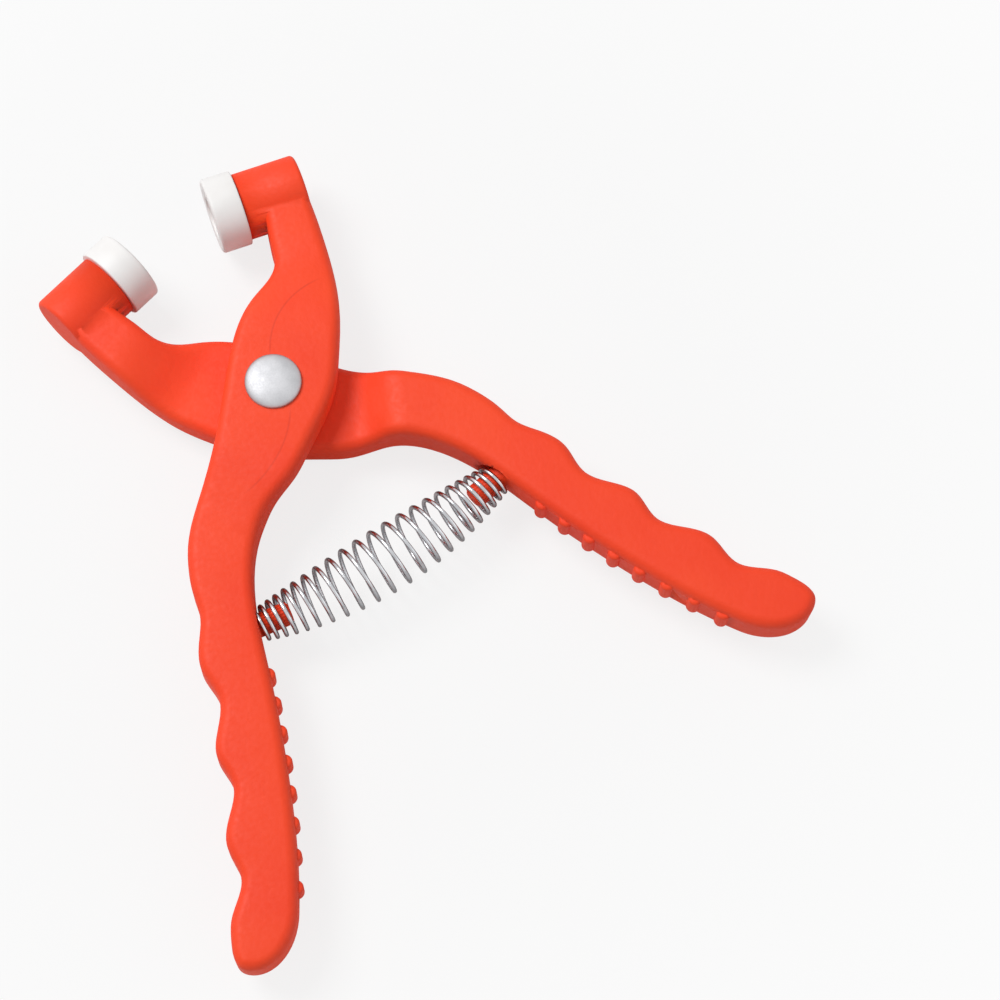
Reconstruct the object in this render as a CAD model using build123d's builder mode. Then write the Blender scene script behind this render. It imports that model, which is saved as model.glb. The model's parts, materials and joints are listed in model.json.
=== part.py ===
# Snap setter pliers: two lapped plastic levers on one rivet, held open by a barrel spring,
# with a nylon die cap round a steel anvil on each jaw head.
# Lengths are in millimetres.  +X points from the rivet to the jaws, +Z is up when the pliers lie flat,
# and the origin is on the rivet's axis where the rivet's lower end touches the table.
import os
from math import cos, pi, radians, sin

from build123d import *

os.makedirs("parts", exist_ok=True)

# levers
lever_thickness = 12.5
lap_thickness = 9.5          # of one lever where the two cross
lap_gap = 0.2                # between the two crossing faces
palm_rounding = 2.6          # rims on the side that the hand holds
inner_rounding = 1.0         # rims on the side of the spring

# where the lever changes from the lap to full thickness, measured from the rivet
handle_step_angle = 116.0    # direction square to the step, from +X
handle_step = 16.6
handle_step_run = 14.0
handle_crown = 14.0          # the proud top starts to fall here
handle_crown_run = 22.0
jaw_slope_angle = -30.5
jaw_slope = 17.0
jaw_slope_end = 38.0

# finger ribs on the inner edge of each handle
rib_count = 8
rib_radius = 1.7
rib_stand = 1.2
rib_rounding = 0.9
rib_first = (-57.6, 37.3)
rib_last = (-102.4, 57.9)

# jaw heads
jaw_reach = 48.1             # from the rivet to the head axis when the jaws are shut
closing_half_angle = 13.0    # degrees that each lever turns from open to shut
die_gap_shut = 0.8
boss_diameter = 16.4
boss_length = 15.7
boss_rounding = 1.1

# die caps and anvils
cap_diameter = 18.5
cap_length = 7.4
cap_recess_diameter = 10.2   # takes a 9.5 mm snap
cap_recess_depth = 2.0
spigot_diameter = 9.4        # the cap's bore behind the recess
cap_back_rounding = 0.35
cap_mouth_rounding = 0.7
cap_mouth_chamfer = 0.3
cap_gap = 0.25               # joint line between cap and boss
anvil_thickness = 1.0
anvil_stem_diameter = 3.6
anvil_stem_length = 9.0
anvil_groove_radius = 3.3
anvil_dimple_radius = 2.2
seat_clearance = 0.05

# rivet and washer
rivet_head_diameter = 13.3
rivet_head_height = 2.3
rivet_head_rim = 0.5
rivet_diameter = 6.0
rivet_running_clearance = 0.06
rivet_end_diameter = 9.0
rivet_end_height = 1.4
washer_diameter = 13.0
washer_thickness = 0.8
washer_gap = 0.1

# return spring and the pegs it sits on
spring_wire = 1.05
spring_turns = 22
spring_end_diameter = 8.0    # outside
spring_mid_diameter = 16.0   # outside
spring_crowding = 0.38       # how much closer the end turns are than the average
peg_seat = (-45.7, 33.6)     # middle of the upper lever's spring seat
peg_lean = 9.0               # degrees, away from the rivet
peg_diameter = 5.6
peg_length = 8.5
peg_chamfer = 0.7
seat_diameter = 9.8

half = lever_thickness / 2
lap_height = rivet_end_height + washer_thickness + washer_gap + lap_thickness
cap_face = cap_gap + cap_length
anvil_seat = -cap_recess_depth - anvil_thickness
spigot_length = cap_face + anvil_seat

# Outline of the upper lever in the open position, seen from above: along the spring's side from the
# jaw to the handle, round its end, back over the finger grips and the shoulder to the jaw.
spring_side = [(43.5, -34.1), (39.0, -33.3), (34.0, -32.3), (28.0, -30.8), (16.0, -27.0), (7.0, -22.8),
               (-0.2, -18.0), (-7.6, -12.2), (-12.4, -6.4), (-16.8, 0.6), (-20.9, 7.6), (-22.4, 11.8),
               (-24.3, 17.0), (-27.6, 21.6), (-32.5, 26.0), (-42.0, 31.4), (-57.0, 37.0), (-82.0, 47.2),
               (-98.0, 55.2), (-106.5, 60.4)]
handle_end = [(-106.5, 60.4), (-112.0, 65.8), (-114.0, 71.0), (-113.4, 75.6), (-110.6, 78.4), (-108.6, 78.4),
              (-106.2, 77.6)]
finger_grips = [(-106.2, 77.6), (-103.8, 76.4), (-101.0, 74.6), (-94.0, 67.6), (-86.0, 66.4), (-80.8, 62.6),
                (-75.0, 58.0), (-67.6, 57.6), (-61.0, 53.0), (-56.5, 50.2), (-48.8, 50.0), (-42.0, 46.6),
                (-37.5, 43.6), (-34.0, 42.6), (-30.4, 41.6)]
shoulder = [(-30.4, 41.6), (-26.2, 39.8), (-21.5, 37.0), (-12.0, 27.4), (-4.5, 19.2), (3.6, 12.0),
            (11.4, 5.2), (17.2, -0.8), (21.4, -7.6), (23.9, -13.6), (26.4, -16.6), (31.0, -18.6),
            (37.0, -20.9), (43.5, -23.3)]
palm_side = handle_end[2:] + finger_grips + shoulder


def lever_outline():
    Spline(*spring_side)
    Spline(*handle_end)
    Spline(*finger_grips)
    Spline(*shoulder)
    Line(shoulder[-1], spring_side[0])


def upright_plane(angle, reach):
    # an upright plane to one side of the rivet: its X runs outwards at the angle, its Y is up
    outwards = (cos(radians(angle)), sin(radians(angle)), 0)
    sideways = (sin(radians(angle)), -cos(radians(angle)), 0)
    return Plane(origin=(0, 0, 0), x_dir=outwards, z_dir=sideways).offset(-reach)


def head_plane(along):
    # square to the head axis, at a distance from the cap's mouth, Z out of the mouth
    turn = radians(closing_half_angle)
    mouth_x = jaw_reach * cos(turn) - die_gap_shut / 2 * sin(turn)
    mouth_y = -jaw_reach * sin(turn) - die_gap_shut / 2 * cos(turn)
    outwards = (sin(turn), cos(turn), 0)
    origin = (mouth_x + along * outwards[0], mouth_y + along * outwards[1], 0)
    return Plane(origin=origin, x_dir=(0, 0, 1), z_dir=outwards)


def peg_plane(along):
    # square to the peg, at a distance from its seat, Z towards the other lever
    outwards = (-sin(radians(peg_lean)), -cos(radians(peg_lean)), 0)
    origin = (peg_seat[0] + along * outwards[0], peg_seat[1] + along * outwards[1], 0)
    return Plane(origin=origin, x_dir=(0, 0, 1), z_dir=outwards)


def profile_cutter(sign, handle_start, handle_end, jaw_start, lap_level):
    # clears everything above (sign 1) or below (sign -1) the lever's lengthwise profile
    beyond = sign * (lap_thickness + 2)
    level = sign * half
    with BuildPart() as cutter:
        for angle, start, end, reach in ((handle_step_angle, handle_start, handle_end, 150),
                                         (jaw_slope_angle, jaw_start, jaw_slope_end, 90)):
            with BuildSketch(upright_plane(angle, 90)):
                with BuildLine():
                    Spline((start, lap_level), (end, level), tangents=[(1, 0), (1, 0)])
                    Polyline((end, level), (reach, level), (reach, beyond), (-4, beyond), (-4, lap_level),
                             (start, lap_level))
                make_face()
            extrude(amount=180)
    return cutter.part


def nearest(point, places):
    return min((point.X - x) ** 2 + (point.Y - y) ** 2 for x, y in places)


def outline_rims(faces, on_palm_side):
    # the edges along the top and bottom of the upright walls, on one side of the lever
    walls = [f for f in faces if abs(f.normal_at(f.center()).Z) < 0.001]
    edges = ShapeList(e for f in walls for e in f.edges())
    rims = [e for e in edges if abs((e @ 0).X - (e @ 1).X) + abs((e @ 0).Y - (e @ 1).Y) > 0.5]
    return [e for e in rims if (nearest(e @ 0.5, palm_side) <= nearest(e @ 0.5, spring_side)) == on_palm_side]


def lever_plate():
    # the lever without its head: outline, proud top, room underneath for the other lever, rounded rims
    with BuildPart() as plate:
        with BuildSketch(Plane.XY.offset(-half)):
            with BuildLine():
                lever_outline()
            make_face()
        extrude(amount=half + lap_thickness)
        add(profile_cutter(1, handle_crown, handle_crown + handle_crown_run, jaw_slope - 6, lap_thickness),
            mode=Mode.SUBTRACT)
        add(profile_cutter(-1, handle_step, handle_step + handle_step_run, jaw_slope, lap_gap / 2),
            mode=Mode.SUBTRACT)
        fillet(outline_rims(plate.faces(), True), palm_rounding)
        fillet(outline_rims(plate.faces(), False), inner_rounding)
    return plate.part


def rib(number):
    # one half-round rib up the spring's side of the handle
    share = number / (rib_count - 1)
    x = rib_first[0] + share * (rib_last[0] - rib_first[0])
    sag = 1.4 * sin(pi * share)
    y = rib_first[1] + share * (rib_last[1] - rib_first[1]) - sag + rib_radius - rib_stand
    height = lever_thickness - 4.6
    with BuildPart() as post:
        with Locations((x, y, 0)):
            Cylinder(rib_radius, height)
        fillet(post.edges().filter_by(GeomType.CIRCLE), rib_rounding)
    return post.part


def spring_peg():
    with BuildPart() as peg:
        with BuildSketch(peg_plane(-1)):
            Circle(peg_diameter / 2)
        extrude(amount=peg_length + 1)
        chamfer(peg.faces().sort_by(Axis.Y)[0].edges(), peg_chamfer)
    return peg.part


def head_boss():
    with BuildPart() as boss:
        with BuildSketch(head_plane(-cap_face)):
            Circle(boss_diameter / 2)
        extrude(amount=-boss_length)
        fillet(boss.faces().sort_by(Axis.Y)[0].edges(), boss_rounding)
    return boss.part


def lever():
    # one lever, with the crossing face at Z = 0 and the rivet at the origin
    with BuildPart() as body:
        add(lever_plate())
        for number in range(rib_count):
            add(rib(number))
        # spring seat and peg
        with BuildSketch(peg_plane(0)):
            Circle(seat_diameter / 2)
        extrude(amount=6, mode=Mode.SUBTRACT)
        add(spring_peg())
        # jaw head: round boss, then the spigot that carries the cap
        add(head_boss())
        with BuildSketch(head_plane(-cap_face)):
            Circle(spigot_diameter / 2 - seat_clearance)
        extrude(amount=spigot_length)
        with BuildSketch(head_plane(anvil_seat)):
            Circle(anvil_stem_diameter / 2 + seat_clearance)
        extrude(amount=-anvil_stem_length - 0.5, mode=Mode.SUBTRACT)
        # rivet hole
        with BuildSketch(Plane.XY):
            Circle(rivet_diameter / 2 + rivet_running_clearance)
        extrude(amount=lap_thickness + 1, mode=Mode.SUBTRACT)
    return body.part


def on_lap(part):
    return part.moved(Location((0, 0, lap_height)))


def turned_over(part):
    return part.rotate(Axis.X, 180)


def is_recess_rim(edge):
    return abs(edge.radius - cap_recess_diameter / 2) < 0.01


def die_cap():
    with BuildPart() as ring:
        with BuildSketch(head_plane(-cap_length)):
            Circle(cap_diameter / 2)
        extrude(amount=cap_length)
        fillet(ring.edges().filter_by(GeomType.CIRCLE).sort_by(Axis.Y)[0], cap_back_rounding)
        fillet(ring.edges().filter_by(GeomType.CIRCLE).sort_by(Axis.Y)[-1], cap_mouth_rounding)
        with BuildSketch(head_plane(-cap_length)):
            Circle(spigot_diameter / 2)
        extrude(amount=cap_length, mode=Mode.SUBTRACT)
        with BuildSketch(head_plane(0)):
            Circle(cap_recess_diameter / 2)
        extrude(amount=-cap_recess_depth, mode=Mode.SUBTRACT)
        mouth = ring.edges().filter_by(GeomType.CIRCLE).filter_by(is_recess_rim).sort_by(Axis.Y)[-1]
        chamfer(mouth, cap_mouth_chamfer)
    return ring.part


def anvil(grooved):
    with BuildPart() as disc:
        with BuildSketch(head_plane(anvil_seat)):
            Circle(spigot_diameter / 2 - seat_clearance)
        extrude(amount=anvil_thickness)
        with BuildSketch(head_plane(anvil_seat)):
            Circle(anvil_stem_diameter / 2)
        extrude(amount=-anvil_stem_length)
        with BuildSketch(head_plane(-cap_recess_depth)):
            if grooved:
                Circle(anvil_groove_radius + 0.5)
                Circle(anvil_groove_radius - 0.5, mode=Mode.SUBTRACT)
            else:
                Circle(anvil_dimple_radius)
        extrude(amount=-0.45, mode=Mode.SUBTRACT)
    return disc.part


with BuildPart() as upper_lever:
    add(on_lap(lever()))
upper_lever.part.label = "upper_lever"
export_step(upper_lever.part, "parts/upper_lever.step")

with BuildPart() as lower_lever:
    add(on_lap(turned_over(lever())))
lower_lever.part.label = "lower_lever"
export_step(lower_lever.part, "parts/lower_lever.step")

with BuildPart() as upper_die_cap:
    add(on_lap(die_cap()))
upper_die_cap.part.label = "upper_die_cap"
export_step(upper_die_cap.part, "parts/upper_die_cap.step")

with BuildPart() as lower_die_cap:
    add(on_lap(turned_over(die_cap())))
lower_die_cap.part.label = "lower_die_cap"
export_step(lower_die_cap.part, "parts/lower_die_cap.step")

with BuildPart() as upper_anvil:
    add(on_lap(anvil(True)))
upper_anvil.part.label = "upper_anvil"
export_step(upper_anvil.part, "parts/upper_anvil.step")

with BuildPart() as lower_anvil:
    add(on_lap(turned_over(anvil(False))))
lower_anvil.part.label = "lower_anvil"
export_step(lower_anvil.part, "parts/lower_anvil.step")

# Rivet: domed head, plain shank, lower end spread over the washer.
head_base = lap_height + lap_thickness
with BuildPart() as pivot_rivet:
    with BuildSketch(Plane.XZ):
        with BuildLine():
            rim = rivet_head_diameter / 2
            crown = head_base + rivet_head_height
            Polyline((0, crown), (0, 0), (rivet_end_diameter / 2 - 0.4, 0))
            ThreePointArc((rivet_end_diameter / 2 - 0.4, 0), (rivet_end_diameter / 2, 0.4),
                          (rivet_end_diameter / 2 - 0.3, rivet_end_height))
            Polyline((rivet_end_diameter / 2 - 0.3, rivet_end_height), (rivet_diameter / 2, rivet_end_height),
                     (rivet_diameter / 2, head_base), (rim, head_base), (rim, head_base + rivet_head_rim))
            Spline((rim, head_base + rivet_head_rim), (0.62 * rim, crown - 0.42), (0, crown),
                   tangents=[(-0.25, 1), (-1, 0)])
        make_face()
    revolve(axis=Axis.Z)
pivot_rivet.part.label = "pivot_rivet"
export_step(pivot_rivet.part, "parts/pivot_rivet.step")

with BuildPart(Plane.XY.offset(rivet_end_height)) as rivet_washer:
    Cylinder(washer_diameter / 2, washer_thickness, align=(Align.CENTER, Align.CENTER, Align.MIN))
    Cylinder(rivet_diameter / 2 + rivet_running_clearance, washer_thickness,
             align=(Align.CENTER, Align.CENTER, Align.MIN), mode=Mode.SUBTRACT)
    rims = rivet_washer.edges().filter_by(GeomType.CIRCLE)
    chamfer(rims.filter_by(lambda e: abs(e.radius - washer_diameter / 2) < 0.01), 0.2)
rivet_washer.part.label = "rivet_washer"
export_step(rivet_washer.part, "parts/rivet_washer.step")


# Return spring: its axis leaves the upper lever's seat along the peg, bows away from the rivet and
# meets the lower lever's seat the same way.
seat_x, seat_y = peg_seat
wire = spring_wire / 2
first = wire + 0.02
half_chord = seat_y - first * cos(radians(peg_lean))
chord_x = seat_x - first * sin(radians(peg_lean))
bow_radius = half_chord / sin(radians(peg_lean))


def spring_point(turn):
    share = turn / spring_turns
    along = share - spring_crowding * sin(2 * pi * share) / (2 * pi)
    lean = radians(peg_lean) * (1 - 2 * along)
    centre_x = chord_x + bow_radius * cos(radians(peg_lean)) - bow_radius * cos(lean)
    centre_y = bow_radius * sin(lean)
    barrel = sin(pi * along) ** 0.85
    coil = (spring_end_diameter + barrel * (spring_mid_diameter - spring_end_diameter) - spring_wire) / 2
    angle = 2 * pi * turn
    sideways = coil * cos(angle)
    return (centre_x + sideways * cos(lean), centre_y - sideways * sin(lean), lap_height + coil * sin(angle))


with BuildPart() as return_spring:
    steps = 12
    with BuildLine() as coil_line:
        Spline(*[spring_point(n / steps) for n in range(spring_turns * steps + 1)])
    with BuildSketch(Plane(origin=coil_line.line @ 0, z_dir=coil_line.line % 0)):
        Circle(wire)
    sweep(is_frenet=True)
return_spring.part.label = "return_spring"
export_step(return_spring.part, "parts/return_spring.step")
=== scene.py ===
# Snap setter pliers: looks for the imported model, in metres, lying flat with the jaws open.
import json
from math import cos, pi, radians, sin

import bpy
from mathutils import Matrix, Vector

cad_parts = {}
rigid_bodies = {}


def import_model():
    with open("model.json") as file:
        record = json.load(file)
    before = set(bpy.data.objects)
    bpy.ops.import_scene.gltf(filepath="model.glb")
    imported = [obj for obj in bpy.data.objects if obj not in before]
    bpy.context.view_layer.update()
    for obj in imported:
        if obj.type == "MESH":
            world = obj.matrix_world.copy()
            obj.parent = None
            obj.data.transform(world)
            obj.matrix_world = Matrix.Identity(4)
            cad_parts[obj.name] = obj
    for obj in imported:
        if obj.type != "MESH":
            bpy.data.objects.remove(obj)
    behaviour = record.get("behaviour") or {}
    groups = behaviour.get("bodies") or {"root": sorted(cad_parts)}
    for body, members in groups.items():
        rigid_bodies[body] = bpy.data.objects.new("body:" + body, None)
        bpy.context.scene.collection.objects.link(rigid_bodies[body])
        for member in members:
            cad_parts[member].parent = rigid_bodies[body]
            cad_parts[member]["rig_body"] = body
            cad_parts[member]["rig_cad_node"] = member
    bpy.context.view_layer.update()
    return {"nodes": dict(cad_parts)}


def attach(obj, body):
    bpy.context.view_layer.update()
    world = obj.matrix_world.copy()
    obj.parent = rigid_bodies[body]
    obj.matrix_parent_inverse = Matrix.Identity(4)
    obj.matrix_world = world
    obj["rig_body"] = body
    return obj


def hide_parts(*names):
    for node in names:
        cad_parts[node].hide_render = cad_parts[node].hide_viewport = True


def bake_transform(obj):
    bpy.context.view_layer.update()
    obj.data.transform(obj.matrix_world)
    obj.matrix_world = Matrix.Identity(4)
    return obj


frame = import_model()
mm = 0.001


# ---- small helpers
def deselectAll():
    if bpy.context.object and bpy.context.object.mode != "OBJECT":
        bpy.ops.object.mode_set(mode="OBJECT")
    bpy.ops.object.select_all(action="DESELECT")


def pick(obj):
    deselectAll()
    obj.select_set(True)
    bpy.context.view_layer.objects.active = obj


def settle(obj):
    # the place and turn go into the mesh
    pick(obj)
    bpy.ops.object.transform_apply(location=True, rotation=True, scale=True)


def roundShading(obj, angle=35):
    pick(obj)
    bpy.ops.object.shade_smooth_by_angle(angle=radians(angle))


def dress(obj, material, body):
    obj.data.materials.clear()
    obj.data.materials.append(material)
    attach(obj, body)


def turned(name, rings, segments=96, closedLoop=False):
    # a turned piece about Z: rings are (radius, height) in millimetres, one after the other
    deselectAll()
    firstRadius, firstHeight = rings[0]
    bpy.ops.mesh.primitive_circle_add(vertices=segments, radius=firstRadius * mm,
                                      location=(0, 0, firstHeight * mm))
    obj = bpy.context.object
    obj.name = obj.data.name = name
    settle(obj)
    bpy.ops.object.mode_set(mode="EDIT")
    bpy.ops.mesh.select_all(action="SELECT")
    if not closedLoop:
        bpy.ops.mesh.edge_face_add()
        bpy.ops.mesh.select_all(action="SELECT")
        bpy.ops.mesh.select_mode(type="EDGE")
        bpy.ops.mesh.region_to_loop()
    for (radius, height), (nextRadius, nextHeight) in zip(rings, rings[1:]):
        bpy.ops.mesh.extrude_edges_move(TRANSFORM_OT_translate={"value": (0, 0, (nextHeight - height) * mm)})
        grow = nextRadius / radius
        bpy.ops.transform.resize(value=(grow, grow, 1), center_override=(0, 0, nextHeight * mm))
    if closedLoop:
        bpy.ops.object.mode_set(mode="OBJECT")
        for edge in obj.data.edges:
            ends = [obj.data.vertices[v].co for v in edge.vertices]
            edge.select = any(all(abs(e.z / mm - h) < 1e-4 and abs(e.xy.length / mm - r) < 1e-3 for e in ends)
                              for r, h in (rings[0], rings[-1]))
        bpy.ops.object.mode_set(mode="EDIT")
        bpy.ops.mesh.select_mode(type="EDGE")
        bpy.ops.mesh.bridge_edge_loops()
    else:
        bpy.ops.mesh.edge_face_add()
    bpy.ops.mesh.select_all(action="SELECT")
    bpy.ops.mesh.remove_doubles(threshold=0.001 * mm)
    bpy.ops.mesh.normals_make_consistent(inside=False)
    bpy.ops.object.mode_set(mode="OBJECT")
    return obj


def aim(obj, axis, origin):
    # stands a piece that was turned about Z along another axis
    obj.rotation_mode = "QUATERNION"
    obj.rotation_quaternion = Vector(axis).to_track_quat("Z", "X")
    obj.location = Vector(origin)
    settle(obj)


def node(tree, kind, **values):
    made = tree.nodes.new(kind)
    for key, value in values.items():
        if hasattr(made, key):
            setattr(made, key, value)
        else:
            made.inputs[key].default_value = value
    return made


def rangeOf(tree, source, low, high, fromLow=0.3, fromHigh=0.7):
    spread = node(tree, "ShaderNodeMapRange")
    spread.inputs["From Min"].default_value = fromLow
    spread.inputs["From Max"].default_value = fromHigh
    spread.inputs["To Min"].default_value = low
    spread.inputs["To Max"].default_value = high
    tree.links.new(source, spread.inputs["Value"])
    return spread.outputs["Result"]


def colourMix(tree, factor, first, second):
    mix = node(tree, "ShaderNodeMix", data_type="RGBA")
    mix.inputs[6].default_value = (*first, 1)
    mix.inputs[7].default_value = (*second, 1)
    tree.links.new(factor, mix.inputs[0])
    return mix.outputs[2]


def bump(tree, shader, height, strength, distance):
    raised = node(tree, "ShaderNodeBump", Strength=strength, Distance=distance)
    tree.links.new(height, raised.inputs["Height"])
    tree.links.new(raised.outputs["Normal"], shader.inputs["Normal"])


def colourOver(tree, factor, under, colour):
    mix = node(tree, "ShaderNodeMix", data_type="RGBA")
    mix.inputs[7].default_value = (*colour, 1)
    tree.links.new(under, mix.inputs[6])
    tree.links.new(factor, mix.inputs[0])
    return mix.outputs[2]


print("materials")


# ---- shared effects
def buildMottleGroup():
    # cloudy unevenness and fine grain, as on a moulded or a handled surface
    group = bpy.data.node_groups.new("surfaceMottle", "ShaderNodeTree")
    for label in ("Cloud Size", "Grain Size", "Cloud Amount"):
        group.interface.new_socket(name=label, in_out="INPUT", socket_type="NodeSocketFloat")
    group.interface.new_socket(name="Vector", in_out="INPUT", socket_type="NodeSocketVector")
    for label in ("Cloud", "Grain", "Height"):
        group.interface.new_socket(name=label, in_out="OUTPUT", socket_type="NodeSocketFloat")
    start = group.nodes.new("NodeGroupInput")
    end = group.nodes.new("NodeGroupOutput")
    cloud = node(group, "ShaderNodeTexNoise", Detail=4.0, Roughness=0.55)
    grain = node(group, "ShaderNodeTexNoise", Detail=2.0, Roughness=0.6)
    height = node(group, "ShaderNodeMath", operation="MULTIPLY_ADD")
    group.links.new(start.outputs["Vector"], cloud.inputs["Vector"])
    group.links.new(start.outputs["Vector"], grain.inputs["Vector"])
    group.links.new(start.outputs["Cloud Size"], cloud.inputs["Scale"])
    group.links.new(start.outputs["Grain Size"], grain.inputs["Scale"])
    group.links.new(cloud.outputs["Fac"], height.inputs[0])
    group.links.new(start.outputs["Cloud Amount"], height.inputs[1])
    group.links.new(grain.outputs["Fac"], height.inputs[2])
    group.links.new(cloud.outputs["Fac"], end.inputs["Cloud"])
    group.links.new(grain.outputs["Fac"], end.inputs["Grain"])
    group.links.new(height.outputs[0], end.inputs["Height"])
    return group


def buildFlowLineGroup():
    # a faint line where two flows of plastic met: an arc on a flat face, fading out towards both ends
    group = bpy.data.node_groups.new("flowLine", "ShaderNodeTree")
    for label in ("Vector", "Centre", "Middle"):
        group.interface.new_socket(name=label, in_out="INPUT", socket_type="NodeSocketVector")
    for label in ("Radius", "Width", "Reach"):
        group.interface.new_socket(name=label, in_out="INPUT", socket_type="NodeSocketFloat")
    group.interface.new_socket(name="Mask", in_out="OUTPUT", socket_type="NodeSocketFloat")
    start = group.nodes.new("NodeGroupInput")
    end = group.nodes.new("NodeGroupOutput")
    flat = node(group, "ShaderNodeVectorMath", operation="MULTIPLY")
    flat.inputs[1].default_value = (1, 1, 0)
    fromCentre = node(group, "ShaderNodeVectorMath", operation="DISTANCE")
    off = node(group, "ShaderNodeMath", operation="SUBTRACT")
    side = node(group, "ShaderNodeMath", operation="ABSOLUTE")
    thin = node(group, "ShaderNodeMapRange")
    fromMiddle = node(group, "ShaderNodeVectorMath", operation="DISTANCE")
    share = node(group, "ShaderNodeMath", operation="DIVIDE")
    fade = node(group, "ShaderNodeMapRange")
    both = node(group, "ShaderNodeMath", operation="MULTIPLY")
    # full on the line, none past its width; full up to 0.7 of its reach, none at its end
    for spread, low, high in ((thin, 0.0, 1.0), (fade, 0.7, 1.0)):
        spread.inputs["From Min"].default_value = low
        spread.inputs["From Max"].default_value = high
        spread.inputs["To Min"].default_value = 1.0
        spread.inputs["To Max"].default_value = 0.0
    group.links.new(start.outputs["Vector"], flat.inputs[0])
    group.links.new(flat.outputs[0], fromCentre.inputs[0])
    group.links.new(start.outputs["Centre"], fromCentre.inputs[1])
    group.links.new(fromCentre.outputs["Value"], off.inputs[0])
    group.links.new(start.outputs["Radius"], off.inputs[1])
    group.links.new(off.outputs[0], side.inputs[0])
    group.links.new(side.outputs[0], thin.inputs["Value"])
    group.links.new(start.outputs["Width"], thin.inputs["From Max"])
    group.links.new(flat.outputs[0], fromMiddle.inputs[0])
    group.links.new(start.outputs["Middle"], fromMiddle.inputs[1])
    group.links.new(fromMiddle.outputs["Value"], share.inputs[0])
    group.links.new(start.outputs["Reach"], share.inputs[1])
    group.links.new(share.outputs[0], fade.inputs["Value"])
    group.links.new(thin.outputs["Result"], both.inputs[0])
    group.links.new(fade.outputs["Result"], both.inputs[1])
    group.links.new(both.outputs[0], end.inputs["Mask"])
    return group


mottleGroup = buildMottleGroup()
flowLineGroup = buildFlowLineGroup()


def newMaterial(name, **sockets):
    material = bpy.data.materials.new(name)
    material.use_nodes = True
    shader = material.node_tree.nodes["Principled BSDF"]
    for key, value in sockets.items():
        shader.inputs[key.replace("_", " ")].default_value = value
    return material, material.node_tree, shader


def addMottle(tree, look):
    place = tree.nodes.new("ShaderNodeTexCoord")
    mottle = tree.nodes.new("ShaderNodeGroup")
    mottle.node_tree = mottleGroup
    mottle.inputs["Cloud Size"].default_value = look["cloudSize"]
    mottle.inputs["Grain Size"].default_value = look["grainSize"]
    mottle.inputs["Cloud Amount"].default_value = look["cloudAmount"]
    tree.links.new(place.outputs["Object"], mottle.inputs["Vector"])
    return mottle


def mottledColour(tree, mottle, look):
    return colourMix(tree, rangeOf(tree, mottle.outputs["Cloud"], 0, 1), look["dullColour"], look["colour"])


def finishSurface(tree, shader, mottle, look):
    tree.links.new(rangeOf(tree, mottle.outputs["Grain"], *look["roughness"]), shader.inputs["Roughness"])
    bump(tree, shader, mottle.outputs["Height"], look["bump"], look["bumpDepth"] * mm)


def flowLineMask(tree, look):
    # both lines, on the top face at the crossing alone
    place = tree.nodes.new("ShaderNodeTexCoord")
    heights = tree.nodes.new("ShaderNodeSeparateXYZ")
    topFace = node(tree, "ShaderNodeMath", operation="GREATER_THAN")
    topFace.inputs[1].default_value = look["lineAbove"] * mm
    bothLines = node(tree, "ShaderNodeMath", operation="MAXIMUM")
    onTop = node(tree, "ShaderNodeMath", operation="MULTIPLY")
    for number, shape in enumerate(look["lines"]):
        line = tree.nodes.new("ShaderNodeGroup")
        line.node_tree = flowLineGroup
        for label, (x, y) in (("Centre", shape["centre"]), ("Middle", shape["middle"])):
            line.inputs[label].default_value = (x * mm, y * mm, 0)
        line.inputs["Radius"].default_value = shape["radius"] * mm
        line.inputs["Reach"].default_value = shape["reach"] * mm
        line.inputs["Width"].default_value = look["lineWidth"] * mm
        tree.links.new(place.outputs["Object"], line.inputs["Vector"])
        tree.links.new(line.outputs["Mask"], bothLines.inputs[number])
    tree.links.new(place.outputs["Object"], heights.inputs[0])
    tree.links.new(heights.outputs["Z"], topFace.inputs[0])
    tree.links.new(bothLines.outputs[0], onTop.inputs[0])
    tree.links.new(topFace.outputs[0], onTop.inputs[1])
    return onTop.outputs[0]


# ---- finishes: sizes along a surface are noise scales per metre, depths and lines are in millimetres
leverLook = {"colour": (0.97, 0.062, 0.008), "dullColour": (0.93, 0.046, 0.005), "roughness": (0.56, 0.68),
             "cloudSize": 45, "grainSize": 900, "cloudAmount": 1.6, "bump": 0.5, "bumpDepth": 0.14,
             "lineColour": (0.80, 0.04, 0.005), "lineWidth": 0.35, "lineAbove": 18.6,
             "lines": ({"centre": (-3.2, -20.7), "radius": 20.0, "middle": (12.4, -11.6), "reach": 13.0},
                       {"centre": (5.8, 21.0), "radius": 24.9, "middle": (-14.4, 8.9), "reach": 12.5})}


def buildLeverPlastic():
    plastic, tree, shader = newMaterial("orangeMouldedPlastic", IOR=1.5)
    mottle = addMottle(tree, leverLook)
    lined = colourOver(tree, flowLineMask(tree, leverLook), mottledColour(tree, mottle, leverLook),
                       leverLook["lineColour"])
    tree.links.new(lined, shader.inputs["Base Color"])
    finishSurface(tree, shader, mottle, leverLook)
    return plastic


nylonLook = {"colour": (0.90, 0.885, 0.875), "dullColour": (0.85, 0.83, 0.815), "roughness": (0.42, 0.55),
             "cloudSize": 120, "grainSize": 2200, "cloudAmount": 0.8, "bump": 0.2, "bumpDepth": 0.06}


def buildCapNylon():
    nylon, tree, shader = newMaterial("whiteNylon", IOR=1.5)
    mottle = addMottle(tree, nylonLook)
    tree.links.new(mottledColour(tree, mottle, nylonLook), shader.inputs["Base Color"])
    finishSurface(tree, shader, mottle, nylonLook)
    return nylon


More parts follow.
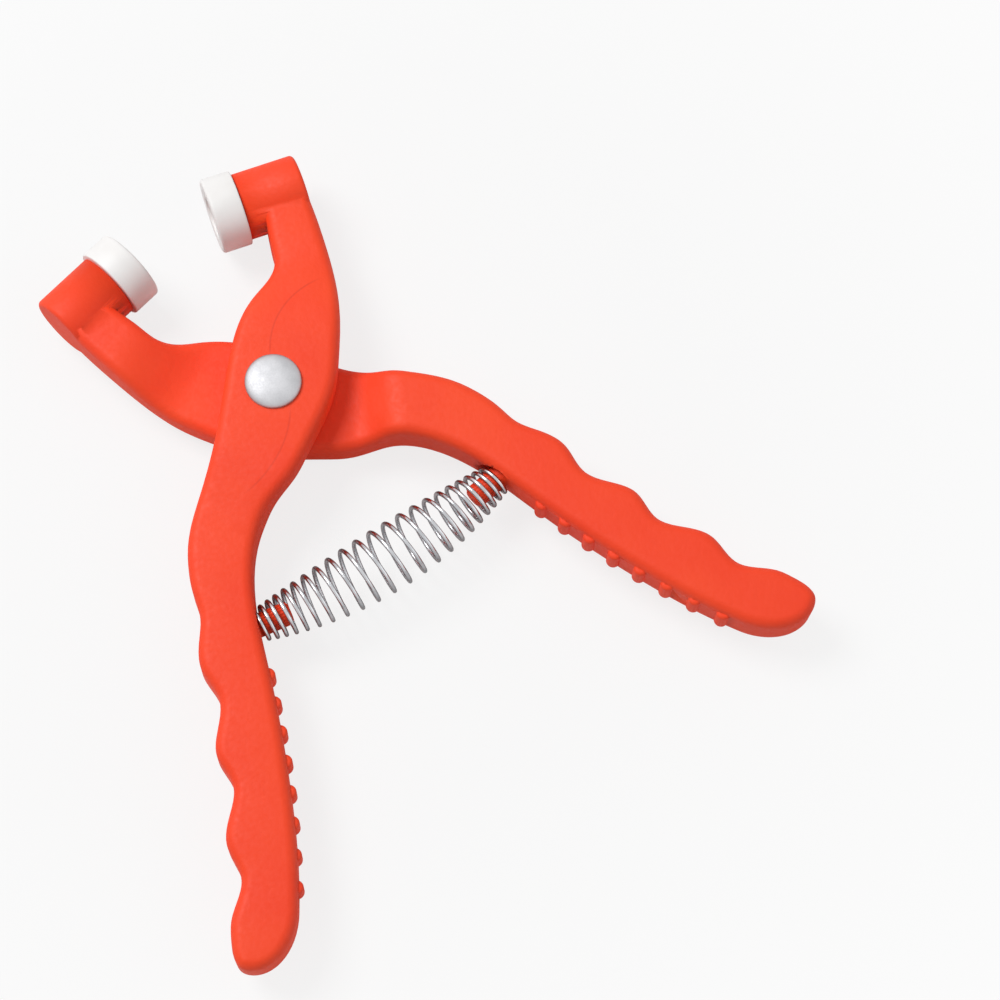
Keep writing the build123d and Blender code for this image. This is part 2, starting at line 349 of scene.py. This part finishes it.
# the third colour in each metal look is a painted dark reflection, laid on where the metal turns away from
# the eye
rivetMetalLook = {"colour": (0.52, 0.52, 0.535), "dullColour": (0.43, 0.43, 0.445),
                  "paintedReflectionColour": (0.27, 0.25, 0.25), "roughness": (0.55, 0.68), "cloudSize": 260,
                  "grainSize": 3200, "cloudAmount": 0.7, "bump": 0.3, "bumpDepth": 0.05}
springSteelLook = {"colour": (0.62, 0.63, 0.65), "dullColour": (0.44, 0.45, 0.47),
                   "paintedReflectionColour": (0.11, 0.11, 0.12), "roughness": (0.14, 0.26), "cloudSize": 300,
                   "grainSize": 4000, "cloudAmount": 0.7, "bump": 0.12, "bumpDepth": 0.05}
anvilSteelLook = {"colour": (0.62, 0.6, 0.57), "dullColour": (0.45, 0.43, 0.41),
                  "paintedReflectionColour": (0.3, 0.28, 0.26), "roughness": (0.22, 0.36), "cloudSize": 400,
                  "grainSize": 5000, "cloudAmount": 0.7, "bump": 0.25, "bumpDepth": 0.05}


def metalMaterial(name, look):
    # painted dark reflection: darker where the metal turns away from the eye
    metal, tree, shader = newMaterial(name, Metallic=1.0)
    mottle = addMottle(tree, look)
    turnedAway = node(tree, "ShaderNodeLayerWeight", Blend=0.5)
    # share of painted dark reflection, growing towards the outline
    paintedReflectionShare = rangeOf(tree, turnedAway.outputs["Facing"], 0, 1, 0.35, 0.95)
    withPaintedReflection = colourOver(tree, paintedReflectionShare, mottledColour(tree, mottle, look), look["paintedReflectionColour"])
    tree.links.new(withPaintedReflection, shader.inputs["Base Color"])
    finishSurface(tree, shader, mottle, look)
    return metal


leverPlastic = buildLeverPlastic()
capNylon = buildCapNylon()
rivetMetal = metalMaterial("satinRivetMetal", rivetMetalLook)
springSteel = metalMaterial("brightSpringWire", springSteelLook)
anvilSteel = metalMaterial("turnedAnvilSteel", anvilSteelLook)

print("levers")
for name, body in (("upper_lever", "upper"), ("lower_lever", "lower")):
    pick(frame["nodes"][name])
    bpy.ops.object.duplicate()
    lever = bpy.context.object
    lever.parent = None
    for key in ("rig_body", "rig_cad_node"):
        del lever[key]  # the copy is a piece of its own
    lever.name = lever.data.name = name + "_moulding"
    bpy.ops.object.mode_set(mode="EDIT")
    bpy.ops.mesh.select_all(action="SELECT")
    bpy.ops.mesh.remove_doubles(threshold=0.002 * mm)
    bpy.ops.object.mode_set(mode="OBJECT")
    roundShading(lever, 30)
    dress(lever, leverPlastic, body)
    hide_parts(name)

print("caps and anvils")
capLook = {"length": 7.4, "radius": 9.25, "backEdge": 0.35, "mouthEdge": 0.7, "recessRadius": 5.1,
           "recessDepth": 2.0, "boreRadius": 4.7, "chamfer": 0.3, "chamferMiddle": (0.08, 0.12),
           "edgeSteps": 6}
headLook = {"reach": 48.1, "halfGapShut": 0.4, "halfAngle": 13}
lapHeight = 11.8
closingHalfAngle = radians(headLook["halfAngle"])
mouthPlace = (headLook["reach"] * cos(closingHalfAngle) - headLook["halfGapShut"] * sin(closingHalfAngle),
              headLook["reach"] * sin(closingHalfAngle) + headLook["halfGapShut"] * cos(closingHalfAngle))
heads = {"upper": (Vector((mouthPlace[0], -mouthPlace[1], lapHeight)) * mm,
                   Vector((sin(closingHalfAngle), cos(closingHalfAngle), 0))),
         "lower": (Vector((mouthPlace[0], mouthPlace[1], lapHeight)) * mm,
                   Vector((sin(closingHalfAngle), -cos(closingHalfAngle), 0)))}


def capRings():
    # from the bore at the back, round the outside and over the mouth, down into the recess
    length, radius, recess = capLook["length"], capLook["radius"], capLook["recessRadius"]
    back, mouth = capLook["backEdge"], capLook["mouthEdge"]
    quarter = [pi / 2 * n / capLook["edgeSteps"] for n in range(capLook["edgeSteps"] + 1)]
    rings = [(capLook["boreRadius"], -length)]
    rings += [(radius - back + back * sin(turn), -length + back * (1 - cos(turn))) for turn in quarter]
    rings += [(radius - mouth * (1 - cos(turn)), -mouth * (1 - sin(turn))) for turn in quarter]
    # the mouth's chamfer, a little hollow in its middle
    inward, downward = capLook["chamferMiddle"]
    rings += [(recess + capLook["chamfer"], 0), (recess + inward, -downward), (recess, -capLook["chamfer"])]
    rings += [(recess, -capLook["recessDepth"]), (capLook["boreRadius"], -capLook["recessDepth"])]
    return rings


# a stem and a disc; the upper face has a groove for a ring's prongs, the lower one a dish
anvilLook = {"stemRadius": 1.8, "stemEnd": -12.0, "discRadius": 4.65, "discBack": -3.0, "discFront": -2.0,
             "face": {"upper": [(3.8, -2.0), (3.6, -2.4), (3.0, -2.4), (2.8, -2.0), (0.6, -2.0)],
                      "lower": [(2.2, -2.0), (1.8, -2.3), (1.0, -2.45), (0.3, -2.45)]}}


def anvilRings(body):
    stem, disc = anvilLook["stemRadius"], anvilLook["discRadius"]
    back = [(stem, anvilLook["stemEnd"]), (stem, anvilLook["discBack"]), (disc, anvilLook["discBack"])]
    return back + [(disc, anvilLook["discFront"])] + anvilLook["face"][body]


for body, (mouth, outwards) in heads.items():
    cap = turned(body + "_die_cap_turned", capRings(), closedLoop=True)
    aim(cap, outwards, mouth)
    roundShading(cap)
    dress(cap, capNylon, body)
    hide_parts(body + "_die_cap")
    anvil = turned(body + "_anvil_turned", anvilRings(body), segments=64)
    aim(anvil, outwards, mouth)
    roundShading(anvil)
    dress(anvil, anvilSteel, body)
    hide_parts(body + "_anvil")

print("rivet")
rivetLook = {"headRadius": 6.65, "underEdge": (0.1, 0.08), "rimHeight": 0.45, "crownHeight": 1.85,
             "fullness": 0.92, "crownSteps": 15, "flatRadius": 0.35, "flatHeight": 1.84,
             "shankRadius": 3.0, "lapThickness": 9.5, "endHeight": 1.4,
             "end": [(0.3, 0.0), (4.0, 0.0), (4.35, 0.08), (4.5, 0.4), (4.42, 0.9), (4.2, 1.4)]}
washerLook = {"boreRadius": 3.06, "radius": 6.5, "edge": 0.2, "thickness": 0.8}


def rivetRings():
    # the spread lower end, the shank, then the head's rim and its dome
    base = lapHeight + rivetLook["lapThickness"]
    rim = base + rivetLook["rimHeight"]
    shank, head = rivetLook["shankRadius"], rivetLook["headRadius"]
    inward, upward = rivetLook["underEdge"]
    rings = rivetLook["end"] + [(shank, rivetLook["endHeight"]), (shank, base)]
    rings += [(head - inward, base), (head, base + upward), (head, rim)]
    for n in range(1, rivetLook["crownSteps"]):
        turn = pi / 2 * n / rivetLook["crownSteps"]
        rings.append((head * cos(turn) ** rivetLook["fullness"], rim + rivetLook["crownHeight"] * sin(turn)))
    rings.append((rivetLook["flatRadius"], rim + rivetLook["flatHeight"]))
    return rings


def washerRings():
    bore, radius, edge = washerLook["boreRadius"], washerLook["radius"], washerLook["edge"]
    bottom = rivetLook["endHeight"]
    top = bottom + washerLook["thickness"]
    return [(bore, bottom), (radius - edge, bottom), (radius, bottom + edge), (radius, top - edge),
            (radius - edge, top), (bore, top)]


rivet = turned("pivot_rivet_turned", rivetRings(), segments=96)
roundShading(rivet, 40)
dress(rivet, rivetMetal, "upper")
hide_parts("pivot_rivet")
washer = turned("rivet_washer_turned", washerRings(), closedLoop=True)
roundShading(washer)
dress(washer, rivetMetal, "upper")
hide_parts("rivet_washer")

print("spring")
springLook = {"turns": 22, "wire": 0.525, "endRadius": 3.475, "midRadius": 7.475, "fullness": 0.85,
              "crowding": 0.38, "seat": (-45.7, 33.6), "seatGap": 0.02, "lean": 9.0, "steps": 20}
wireGap = springLook["wire"] + springLook["seatGap"]
lean = radians(springLook["lean"])
halfChord = springLook["seat"][1] - wireGap * cos(lean)
chordX = springLook["seat"][0] - wireGap * sin(lean)
bowRadius = halfChord / sin(lean)


def coilPoint(turn):
    # the coil's middle line is an arc from seat to seat, and its end turns lie closer together
    share = turn / springLook["turns"]
    along = share - springLook["crowding"] * sin(2 * pi * share) / (2 * pi)
    tilt = lean * (1 - 2 * along)
    centreX = chordX + bowRadius * cos(lean) - bowRadius * cos(tilt)
    centreY = bowRadius * sin(tilt)
    swell = sin(pi * along) ** springLook["fullness"]
    coil = springLook["endRadius"] + swell * (springLook["midRadius"] - springLook["endRadius"])
    sideways = coil * cos(2 * pi * turn)
    height = lapHeight + coil * sin(2 * pi * turn)
    return Vector((centreX + sideways * cos(tilt), centreY - sideways * sin(tilt), height)) * mm


deselectAll()
bpy.ops.curve.primitive_nurbs_path_add()
spring = bpy.context.object
spring.name = spring.data.name = "return_spring_coil"
line = spring.data.splines[0]
pointCount = springLook["turns"] * springLook["steps"] + 1
line.points.add(pointCount - len(line.points))
for number, point in enumerate(line.points):
    point.co = (*coilPoint(number / springLook["steps"]), 1)
line.use_endpoint_u = True
line.order_u = 4
line.resolution_u = 2
spring.data.bevel_depth = springLook["wire"] * mm
spring.data.bevel_resolution = 3
spring.data.use_fill_caps = True
bpy.ops.object.convert(target="MESH")
spring = bpy.context.object
settle(spring)
roundShading(spring, 60)
spring.data.materials.clear()
spring.data.materials.append(springSteel)
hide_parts("return_spring")
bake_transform(spring)

print("studio")
floorLook = {"colour": 0.76, "roughness": 0.9, "size": 6, "drop": 0.0001,
             "whiteFrom": 0.1, "whiteTo": 0.32, "whiteNear": 0.8}
skyLook = {"strength": 0.36}


def buildFloorMaterial():
    # whiter away from the object, so that only its soft shadow shows, and clear from below
    material, tree, shader = newMaterial("paleFloor", Roughness=floorLook["roughness"])
    shader.inputs["Base Color"].default_value = (*[floorLook["colour"]] * 3, 1)
    glow = node(tree, "ShaderNodeEmission", Strength=1.0)
    clear = node(tree, "ShaderNodeBsdfTransparent")
    path = node(tree, "ShaderNodeLightPath")
    geometry = node(tree, "ShaderNodeNewGeometry")
    place = node(tree, "ShaderNodeTexCoord")
    reach = node(tree, "ShaderNodeVectorMath", operation="LENGTH")
    seen = node(tree, "ShaderNodeMath", operation="MULTIPLY")
    whiten = node(tree, "ShaderNodeMixShader")
    underside = node(tree, "ShaderNodeMixShader")
    tree.links.new(place.outputs["Object"], reach.inputs[0])
    white = rangeOf(tree, reach.outputs["Value"], floorLook["whiteNear"], 1.0, floorLook["whiteFrom"],
                    floorLook["whiteTo"])
    tree.links.new(white, seen.inputs[0])
    tree.links.new(path.outputs["Is Camera Ray"], seen.inputs[1])
    tree.links.new(seen.outputs[0], whiten.inputs["Fac"])
    tree.links.new(shader.outputs[0], whiten.inputs[1])
    tree.links.new(glow.outputs[0], whiten.inputs[2])
    tree.links.new(geometry.outputs["Backfacing"], underside.inputs["Fac"])
    tree.links.new(whiten.outputs[0], underside.inputs[1])
    tree.links.new(clear.outputs[0], underside.inputs[2])
    tree.links.new(underside.outputs[0], tree.nodes["Material Output"].inputs["Surface"])
    return material


deselectAll()
bpy.ops.mesh.primitive_plane_add(size=floorLook["size"], location=(0, 0, -floorLook["drop"]))
floor = bpy.context.object
floor.name = "floor"
floor.data.materials.append(buildFloorMaterial())


def buildSky():
    # plain white to the eye and in reflections, dimmer as a light
    world = bpy.data.worlds.new("studioSky")
    world.use_nodes = True
    tree = world.node_tree
    dim = tree.nodes["Background"]
    dim.inputs["Color"].default_value = (1, 1, 1, 1)
    dim.inputs["Strength"].default_value = skyLook["strength"]
    bright = node(tree, "ShaderNodeBackground", Strength=1.0)
    bright.inputs["Color"].default_value = (1, 1, 1, 1)
    path = node(tree, "ShaderNodeLightPath")
    cameraOrGlossy = node(tree, "ShaderNodeMath", operation="MAXIMUM")
    anySight = node(tree, "ShaderNodeMath", operation="MAXIMUM")
    mix = node(tree, "ShaderNodeMixShader")
    tree.links.new(path.outputs["Is Camera Ray"], cameraOrGlossy.inputs[0])
    tree.links.new(path.outputs["Is Glossy Ray"], cameraOrGlossy.inputs[1])
    tree.links.new(cameraOrGlossy.outputs[0], anySight.inputs[0])
    tree.links.new(path.outputs["Is Transmission Ray"], anySight.inputs[1])
    tree.links.new(anySight.outputs[0], mix.inputs["Fac"])
    tree.links.new(dim.outputs[0], mix.inputs[1])
    tree.links.new(bright.outputs[0], mix.inputs[2])
    tree.links.new(mix.outputs[0], tree.nodes["World Output"].inputs["Surface"])
    return world


bpy.context.scene.world = buildSky()

cameraLook = {"place": (-0.1993, 0.0917, 0.6411), "target": (-0.0507, -0.0305, 0.0118),
              "up": (0.8348, -0.5506, 0.0), "lens": 100.8, "sensor": 36, "nearest": 0.01, "farthest": 50}
forward = (Vector(cameraLook["target"]) - Vector(cameraLook["place"])).normalized()
right = forward.cross(Vector(cameraLook["up"])).normalized()
upright = right.cross(forward)

# each soft box is placed by how far to the right and towards the top of the view it stands, and how high
lampLook = {"keySoftBox": {"sideways": -0.7, "upwards": 0.4, "height": 1.1, "size": 0.6, "power": 12.4},
            "fillSoftBox": {"sideways": 0.7, "upwards": -0.2, "height": 0.6, "size": 0.7, "power": 0.9}}


def areaLamp(name, look):
    deselectAll()
    target = Vector(cameraLook["target"])
    place = target + right * look["sideways"] + Vector(cameraLook["up"]) * look["upwards"]
    place.z = look["height"]
    bpy.ops.object.light_add(type="AREA", location=place)
    lamp = bpy.context.object
    lamp.name = name
    lamp.data.size = look["size"]
    lamp.data.energy = look["power"]
    lamp.rotation_mode = "QUATERNION"
    lamp.rotation_quaternion = (target - place).to_track_quat("-Z", "Y")


for name, look in lampLook.items():
    areaLamp(name, look)

deselectAll()
bpy.ops.object.camera_add(location=cameraLook["place"])
camera = bpy.context.object
camera.rotation_mode = "QUATERNION"
camera.rotation_quaternion = Matrix((right, upright, -forward)).transposed().to_quaternion()
camera.data.lens = cameraLook["lens"]
camera.data.sensor_width = cameraLook["sensor"]
camera.data.clip_start = cameraLook["nearest"]
camera.data.clip_end = cameraLook["farthest"]
bpy.context.scene.camera = camera
bpy.context.scene.view_settings.view_transform = "Standard"

print("done")
